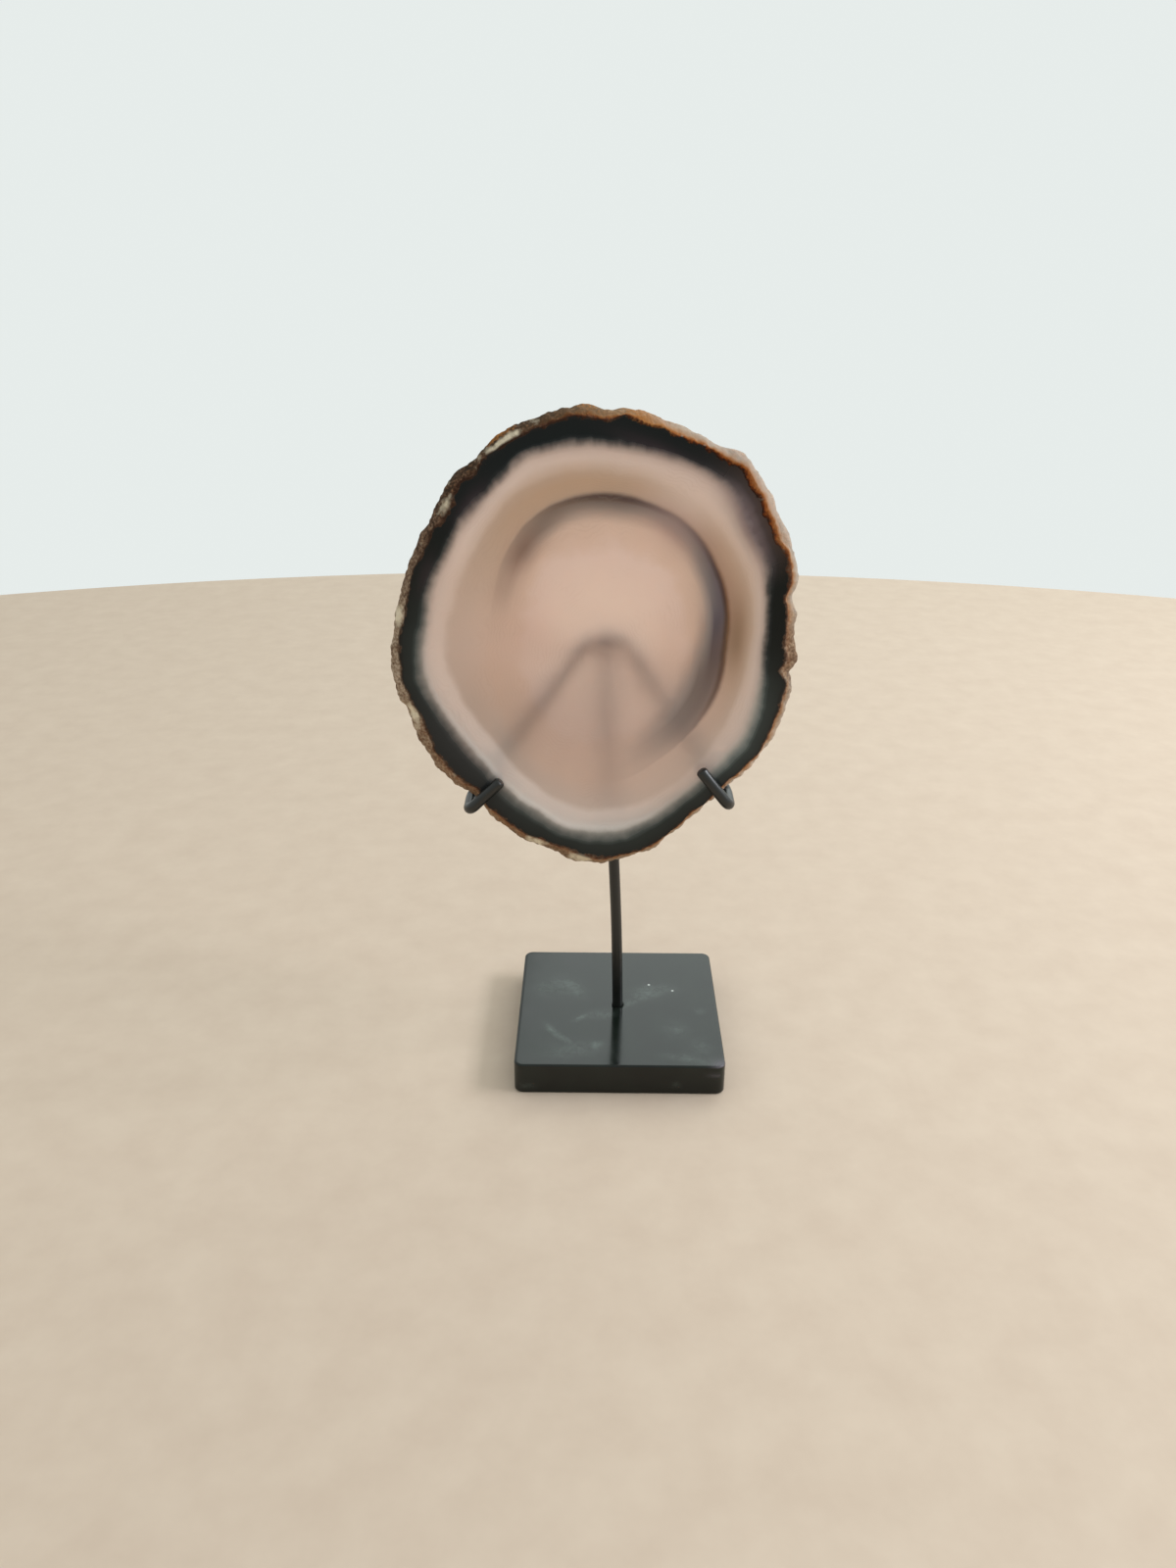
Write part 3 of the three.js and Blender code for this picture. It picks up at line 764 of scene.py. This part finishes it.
# %% Roughness and pits
BAND_ROUGH, PALE_ROUGH, SKIN_ROUGH = 0.15, 1.0, 0.95
BUMP_STRENGTH, BUMP_MM = 0.8, 0.6
face_rough = add(agate, "MapRange", {"Value": pale, "To Min": BAND_ROUGH, "To Max": PALE_ROUGH})
skin_rough = add(agate, "MapRange", {"Value": polished, "To Min": SKIN_ROUGH, "To Max": 0.0})
roughness = add(agate, "Math", {0: face_rough, 1: skin_rough}, operation="MAXIMUM")
unpolished = add(agate, "MapRange", {
    "Value": rind, "From Min": EDGE - 0.1, "From Max": EDGE, "To Min": 1.0, "To Max": 0.0})
pit_height = add(agate, "Math", {0: uneven["grain"], 1: unpolished}, operation="MULTIPLY")
pitted = add(agate, "Bump", {
    "Height": pit_height, "Strength": BUMP_STRENGTH, "Distance": BUMP_MM * MM})
print("the finest pits are", BUMP_MM, "mm deep at most, every", SPACINGS_MM["grain"], "mm")

# %% Polished agate
AGATE_IOR = 1.54
AGATE_SHINE = 0.2
POLISH_ROUGH = 0.12
agate_shader = add(agate, "BsdfPrincipled", {
    "Base Color": colour, "Roughness": roughness, "Transmission Weight": transmission,
    "Coat Weight": clear_face, "Normal": pitted, "IOR": AGATE_IOR, "Specular IOR Level": AGATE_SHINE,
    "Coat IOR": AGATE_IOR, "Coat Roughness": POLISH_ROUGH})
print("the polish over the rough transmission has a roughness of", POLISH_ROUGH, "and IOR", AGATE_IOR)

# %% Colour of the light that comes through
# Iron in the stone takes blue and green out of the light on its way through, and leaves a peach tint.
AMBER_PER_METRE = 86.0
amber = add(agate, "VolumeAbsorption", {"Color": linear("#EE9A3C"), "Density": AMBER_PER_METRE})
add(agate, "OutputMaterial", {"Surface": agate_shader, "Volume": amber})
print(agate.name, "has", len(agate.node_tree.nodes), "nodes")

# %% [markdown]
# ## The stand: bent rods
#
# The stem and the cradle are 4 mm steel bar under black paint. Bar like this is bent cold round a
# former, so it runs straight and turns on short arcs. A round section is carried along the middle
# line. The cut ends were filed, which leaves a small round edge that catches the light.

# %% Middle lines of the bars, in millimetres
BAR_RADIUS = 2.1
HOOK_DEPTH = 14
STEM_LINE = [(-0.1, 0, 3.8), (-1.3, 1.1, 50), (-4.1, 2.6, 108), (-6.8, 4.5, 168.6)]
CRADLE_LINE = [
    ((-43.9, -HOOK_DEPTH, 118), 0),
    ((-56, -HOOK_DEPTH, 106), 3.5),
    ((-56, 0, 106.4), 3.5),
    ((-5.7, 0, 176.4), 10.8),
    ((14, 1.8, 145.3), 40),
    ((38.9, 0, 108.8), 3.5),
    ((38.9, -HOOK_DEPTH, 108.4), 3.5),
    ((27.7, -HOOK_DEPTH, 122.8), 0),
]
bar_length = sum(math.dist(a, b) for (a, _), (b, _) in zip(CRADLE_LINE, CRADLE_LINE[1:]))
print("the cradle takes about", round(bar_length), "mm of bar")

# %% Curve of the stem
STATION_MM = 4


def smooth_line(points, spacing):
    """A curve through the points, as a wire takes it when it is bent by hand."""
    p = [np.array(q, float) for q in points]
    p = [2 * p[0] - p[1]] + p + [2 * p[-1] - p[-2]]
    line = []
    for a, b, c, d in zip(p, p[1:], p[2:], p[3:]):
        steps = max(2, int(np.linalg.norm(c - b) / spacing))
        line += [smooth_between(a, b, c, d, t) for t in np.arange(steps) / steps]
    return line + [p[-2]]


stem_line = smooth_line(STEM_LINE, STATION_MM)
print("the stem's middle line has", len(stem_line), "stations")

# %% Bends of the cradle
BEND_STEP = 6


def bent_line(corners, degrees_per_step, spacing):
    """Straight runs between the corners, each turned on an arc of its own radius."""
    places = [np.array(place, float) for place, _ in corners]
    line = [places[0]]
    for before, here, after, (_, bend) in zip(places, places[1:], places[2:], corners[1:]):
        back = (before - here) / np.linalg.norm(before - here)
        ahead = (after - here) / np.linalg.norm(after - here)
        half = math.acos(np.clip(back @ ahead, -1, 1)) / 2
        turn = math.pi - 2 * half
        bisector = (back + ahead) / np.linalg.norm(back + ahead)
        centre = here + bisector * bend / math.sin(half)
        first = here + back * bend / math.tan(half) - centre
        last = here + ahead * bend / math.tan(half) - centre
        run = np.linalg.norm(centre + first - line[-1])
        straight = np.arange(1, int(run / spacing)) / int(max(run / spacing, 1))
        line += [line[-1] * (1 - t) + (centre + first) * t for t in straight]
        steps = max(2, round(math.degrees(turn) / degrees_per_step))
        for t in np.arange(steps + 1) / steps:
            arc = first * math.sin((1 - t) * turn) + last * math.sin(t * turn)
            line.append(centre + arc / math.sin(turn))
    return line + [places[-1]]


cradle_line = bent_line(CRADLE_LINE, BEND_STEP, STATION_MM)
print("the cradle's middle line has", len(cradle_line), "stations")

# %% Carry a round section along a line
BAR_SIDES = 28
END_ROUNDING = ((0.0, 0.5), (0.06, 0.68), (0.22, 0.83), (0.48, 0.94), (0.8, 1.0))
OFF_LINE = (0.3, 0.5, 0.8)


def round_bar(name, line, radius, material):
    """A closed bar whose ends have a small filed edge."""
    ways = [line[1] - line[0]]
    ways += [after - before for before, after in zip(line, line[2:])] + [line[-1] - line[-2]]
    ways = [way / np.linalg.norm(way) for way in ways]
    stations = [(line[0] + ways[0] * in_mm, ways[0], size) for in_mm, size in END_ROUNDING]
    stations += [(place, way, 1.0) for place, way in zip(line[1:-1], ways[1:-1])]
    stations += [(line[-1] - ways[-1] * in_mm, ways[-1], size) for in_mm, size in END_ROUNDING[::-1]]
    side = np.cross(ways[0], OFF_LINE)
    points = []
    for place, way, size in stations:
        side = side - way * (side @ way)
        side /= np.linalg.norm(side)
        other = np.cross(side, way)
        for k in range(BAR_SIDES):
            a = 2 * math.pi * k / BAR_SIDES
            points.append(place + radius * size * (side * math.cos(a) + other * math.sin(a)))
    return mesh_piece(name, points, joined_rings(len(stations), BAR_SIDES), material)


print("cut ends are rounded over the last", END_ROUNDING[-1][0], "mm of a bar")

# %% [markdown]
# ## The stand: black paint on steel
#
# The paint is a satin black enamel. It is a coating with an IOR near 1.5, so it isn't metallic, and
# its slight waviness, about a millimetre and a half from crest to crest, breaks up the reflections.
# Handling has rubbed it a little smoother in places.

# %% Satin black enamel
RUB_MM, PEEL_MM = 14, 1.4
RUBBED_ROUGH, FRESH_ROUGH = 0.27, 0.38
PEEL_STRENGTH, PEEL_HEIGHT_MM = 0.25, 0.06
ENAMEL_IOR, ENAMEL_SHINE = 1.5, 0.6
enamel = new_material("satin_black_enamel")
enamel_place = add(enamel, "TexCoord").outputs["Object"]
enamel_mm = add(enamel, "VectorMath", {0: enamel_place, "Scale": 1 / MM}, operation="SCALE")
rub = add(enamel, "TexNoise", {"Vector": enamel_mm, "Scale": 1 / RUB_MM, "Detail": 4.0})
enamel_tone = add(enamel, "ValToRGB", {"Fac": rub}, stops=[(0.35, "#0D100E"), (0.65, "#171815")])
enamel_rough = add(enamel, "MapRange", {
    "Value": rub, "From Min": NOISE_LOW, "From Max": NOISE_HIGH,
    "To Min": RUBBED_ROUGH, "To Max": FRESH_ROUGH})
peel = add(enamel, "TexNoise", {"Vector": enamel_mm, "Scale": 1 / PEEL_MM, "Detail": 2.0})
enamel_bump = add(enamel, "Bump", {
    "Height": peel, "Strength": PEEL_STRENGTH, "Distance": PEEL_HEIGHT_MM * MM})
enamel_shader = add(enamel, "BsdfPrincipled", {
    "Base Color": enamel_tone, "Roughness": enamel_rough, "Normal": enamel_bump, "IOR": ENAMEL_IOR,
    "Specular IOR Level": ENAMEL_SHINE})
add(enamel, "OutputMaterial", {"Surface": enamel_shader})
print(enamel.name, "has", len(enamel.node_tree.nodes), "nodes")

# %% Stem and cradle
stem = round_bar("stem_bar", stem_line, BAR_RADIUS, enamel)
cradle = round_bar("cradle_bar", cradle_line, BAR_RADIUS, enamel)
for piece, node in ((stem, "stem"), (cradle, "cradle")):
    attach(piece, "root")
    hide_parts(node)

# %% [markdown]
# ## The stand: the weld
#
# The stem runs up behind the point of the cradle's arch, which is why its shadow in the slice is the
# softest of the three. A welder joins two bars like this with one short bead, laid on in three or four
# drops that freeze one on the other. It is built as a lump whose radius swells at each drop.

# %% Weld bead
WELD_HALF = np.array([5.7, 3.0, 3.4])
WELD_FORWARD, WELD_DOWN = 3.4, 3.0
WELD_RINGS, WELD_SIDES, WELD_DROPS = 36, 40, 4
LEAST_SWELL, DROP_SWELL, DROP_SLANT = 0.9, 0.07, 0.5
LUMP_SWELL, LUMPS_ACROSS = 0.08, 2.2
weld_middle = np.array(STEM_LINE[-1]) - [0.0, WELD_FORWARD, WELD_DOWN]
weld_points = []
for ring in range(1, WELD_RINGS):
    polar = math.pi * ring / WELD_RINGS
    for k in range(WELD_SIDES):
        a = 2 * math.pi * k / WELD_SIDES
        way = np.array([math.cos(polar), math.sin(polar) * math.cos(a), math.sin(polar) * math.sin(a)])
        drop = DROP_SWELL * abs(math.sin(WELD_DROPS * polar + DROP_SLANT * math.sin(a)))
        lump = LUMP_SWELL * noise.noise(Vector(way * LUMPS_ACROSS))
        weld_points.append(weld_middle + WELD_HALF * way * (LEAST_SWELL + drop + lump))
weld = mesh_piece("weld_bead", weld_points, joined_rings(WELD_RINGS - 1, WELD_SIDES), enamel)
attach(weld, "root")

# %% [markdown]
# ## The base: shape
#
# The base is a square of black marble, sawn and ground, with its corners rounded and every edge
# eased with a rubbing stone. It is built from rounded square rings: a small ring in the middle of the
# top, where the stem goes in, then out over the top, round the eased edge, down the side and under.

# %% Rounded square rings
HALF_SIDE, _, TOP = np.array(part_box("base")[1]) / MM
CORNER_RADIUS, LEAST_CORNER = 3.5, 0.4
CORNER_STEPS, SIDE_STEPS = 12, 60


def rounded_square(inset):
    """Points round a square with round corners, set in from the widest outline."""
    half, corner = HALF_SIDE - inset, max(CORNER_RADIUS - inset, LEAST_CORNER)
    points = []
    for quarter in range(4):
        turn = math.pi / 2 * quarter
        for step in range(CORNER_STEPS + 1):
            a = turn + math.pi / 2 * step / CORNER_STEPS
            mid_x = (half - corner) * (1 if quarter in (0, 3) else -1)
            mid_y = (half - corner) * (1 if quarter in (0, 1) else -1)
            points.append(np.array([mid_x + corner * math.cos(a), mid_y + corner * math.sin(a)]))
        start, length = points[-1], 2 * (half - corner)
        way = np.array([-math.sin(turn + math.pi / 2), math.cos(turn + math.pi / 2)])
        points += [start + way * length * step / SIDE_STEPS for step in range(1, SIDE_STEPS)]
    return np.array(points)


outline = rounded_square(0)
print("each ring round the base has", len(outline), "points")

# %% Rings round the hole, in millimetres
HOLE_RADIUS = BAR_RADIUS + 0.1
HOLE_DEPTH, HOLE_EDGE = 8.6, 0.15
stem_foot, stem_next = (np.array(p) for p in STEM_LINE[:2])
base_rings = []
for drop, wider in ((HOLE_DEPTH, 0), (HOLE_EDGE, 0), (0, HOLE_EDGE)):
    up_stem = (TOP - drop - stem_foot[2]) / (stem_next[2] - stem_foot[2])
    hole_middle = (stem_foot + (stem_next - stem_foot) * up_stem)[:2]
    way = (outline - hole_middle) / np.linalg.norm(outline - hole_middle, axis=1)[:, None]
    base_rings.append((hole_middle + (HOLE_RADIUS + wider) * way, TOP - drop))
print("the hole's top is round", np.round(hole_middle, 2), "and it slants with the stem")

# %% Build the base
EDGE_RADIUS, EDGE_SUPPORT = 0.8, 0.5
TOP_RINGS, SIDE_RINGS, EASED_STEPS = 60, 10, 8
support = rounded_square(EDGE_RADIUS + EDGE_SUPPORT)
hole_rim = base_rings[-1][0]
for part in np.arange(1, TOP_RINGS + 1) / TOP_RINGS:
    base_rings.append((hole_rim * (1 - part) + support * part, TOP))
easing = np.linspace(0, math.pi / 2, EASED_STEPS + 1)
eased = [(EDGE_RADIUS * (1 - math.sin(a)), EDGE_RADIUS * (1 - math.cos(a))) for a in easing]
base_rings += [(rounded_square(inset), TOP - drop) for inset, drop in eased]
for part in np.arange(1, SIDE_RINGS) / SIDE_RINGS:
    base_rings.append((outline, (TOP - EDGE_RADIUS) * (1 - part) + EDGE_RADIUS * part))
base_rings += [(rounded_square(inset), height) for height, inset in eased]
base_rings.append((support, 0.0))
base_points = np.array([(*point, z) for ring, z in base_rings for point in ring])
marble = new_material("polished_black_marble")
base_faces = joined_rings(len(base_rings), len(outline))
base = mesh_piece("base_plate", base_points, base_faces, marble)
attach(base, "root")
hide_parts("base")

# %% [markdown]
# ## The base: black marble
#
# Black marble is a dense limestone, dark from the carbon in it, with faint pale wisps of calcite. It is
# polished, but not to a mirror: seen at a low angle it gives back the light as a soft grey-green
# sheen, and the stem stands in it as a dark streak. The polish has dulled at one corner, and there
# are specks of dust.

# %% Wisps and wear, in millimetres
TOP_MARKS = {
    "wisp": [(-26.6, -17, 4, 1.3, -55, 0.9), (-21.6, -23, 4, 1.2, -42, 0.9),
             (-15, -9.2, 3, 1.2, 41, 0.9), (-7, -6.8, 5, 2.6, 12, 0.6), (5, 1.5, 5, 1.7, 42, 0.6),
             (12, 9, 6, 4.5, 40, 0.5), (18, 11, 7, 3.5, 8, 0.35), (-19, 12, 7, 3.5, -54, 0.6),
             (-27, 12, 9, 7, 0, 0.35), (-8.7, -26.8, 2, 1.8, 0, 0.7), (33, -4, 1.8, 1.8, 0, 0.5),
             (22.6, -16.2, 5, 5, 0, 0.3), (-17, -30, 12, 5, 10, 0.35), (27, -35.5, 9, 2, -14, 0.5),
             (31, -28, 5, 6, 0, 0.25)],
    "worn": [(38.5, -39.5, 3.5, 3.5, 0, 1.0)],
}
FRONT_MARKS = {
    "wisp": [(-35.3, 3.3, 3, 1.2, 0, 0.3), (21.5, 4.4, 1.6, 1.2, 0, 0.35)],
    "worn": [(36.5, 8.8, 3, 0.8, 0, 0.5)],
}
base_x, base_y, base_z = base_points.T
on_front = base_y < -HALF_SIDE + EDGE_RADIUS / 2
for name in TOP_MARKS:
    from_above = spot_strength(TOP_MARKS[name], base_x, base_y) * (base_z > TOP - EDGE_RADIUS)
    from_front = spot_strength(FRONT_MARKS[name], base_x, base_z) * on_front
    strength = np.maximum(from_above, from_front)
    store(base, name, strength)
    print(name, "is at most", round(float(strength.max()), 2), "strong on the base")

# %% Polished black marble
MOTTLE_MM, WISP_MM = 9, 3
WISP_BENT = 0.5
WISP_GAP, WISP_WHOLE = 0.22, 0.72
marble_place = add(marble, "TexCoord").outputs["Object"]
marble_mm = add(marble, "VectorMath", {0: marble_place, "Scale": 1 / MM}, operation="SCALE")
mottle = add(marble, "TexNoise", {"Vector": marble_mm, "Scale": 1 / MOTTLE_MM, "Detail": 4.0})
wispy = add(marble, "TexNoise", {
    "Vector": marble_mm, "Scale": 1 / WISP_MM, "Detail": 4.0, "Distortion": WISP_BENT})
wisp, worn = (add(marble, "Attribute", attribute_name=name) for name in TOP_MARKS)
broken = add(marble, "MapRange", {"Value": wispy, "From Min": WISP_GAP, "From Max": WISP_WHOLE})
wisp_mask = add(marble, "Math", {0: wisp, 1: broken}, operation="MULTIPLY")
stone = add(marble, "ValToRGB", {"Fac": mottle}, stops=[(0.35, "#070D09"), (0.65, "#101812")])
for mask, tint in ((wisp_mask, "#5A645E"), (worn, "#565158")):
    stone = add(marble, "Mix", {MASK: mask, UNDER: stone, OVER: linear(tint)}, data_type="RGBA")
print("wisps of calcite break up every", WISP_MM, "mm or so")

# %% Specks of dust
SPECKS_MM = ((12.9, 14.6, TOP), (22.5, 10.4, TOP))
SPECK_RADIUS, SPECK_CORE = 0.7, 0.2
for speck in SPECKS_MM:
    off_speck = add(marble, "VectorMath", {0: marble_mm, 1: speck}, operation="DISTANCE")
    mask = add(marble, "MapRange", {
        "Value": off_speck, "From Min": SPECK_RADIUS, "From Max": SPECK_CORE})
    stone = add(marble, "Mix", {MASK: mask, UNDER: stone, OVER: linear("#C8CCC6")}, data_type="RGBA")
print("specks of dust:", len(SPECKS_MM))

# %% Polish of the marble
BEST_POLISH, LEAST_POLISH, DULLED = 0.1, 0.17, 0.2
MARBLE_IOR = 1.45
polish = add(marble, "MapRange", {
    "Value": mottle, "From Min": NOISE_LOW, "From Max": NOISE_HIGH,
    "To Min": BEST_POLISH, "To Max": LEAST_POLISH})
dulled = add(marble, "Math", {0: wisp_mask, 1: worn}, operation="MAXIMUM")
marble_rough = add(marble, "Math", {0: dulled, 1: DULLED, 2: polish}, operation="MULTIPLY_ADD")
marble_shader = add(marble, "BsdfPrincipled", {
    "Base Color": stone, "Roughness": marble_rough, "IOR": MARBLE_IOR})
add(marble, "OutputMaterial", {"Surface": marble_shader})
print(marble.name, "has", len(marble.node_tree.nodes), "nodes")
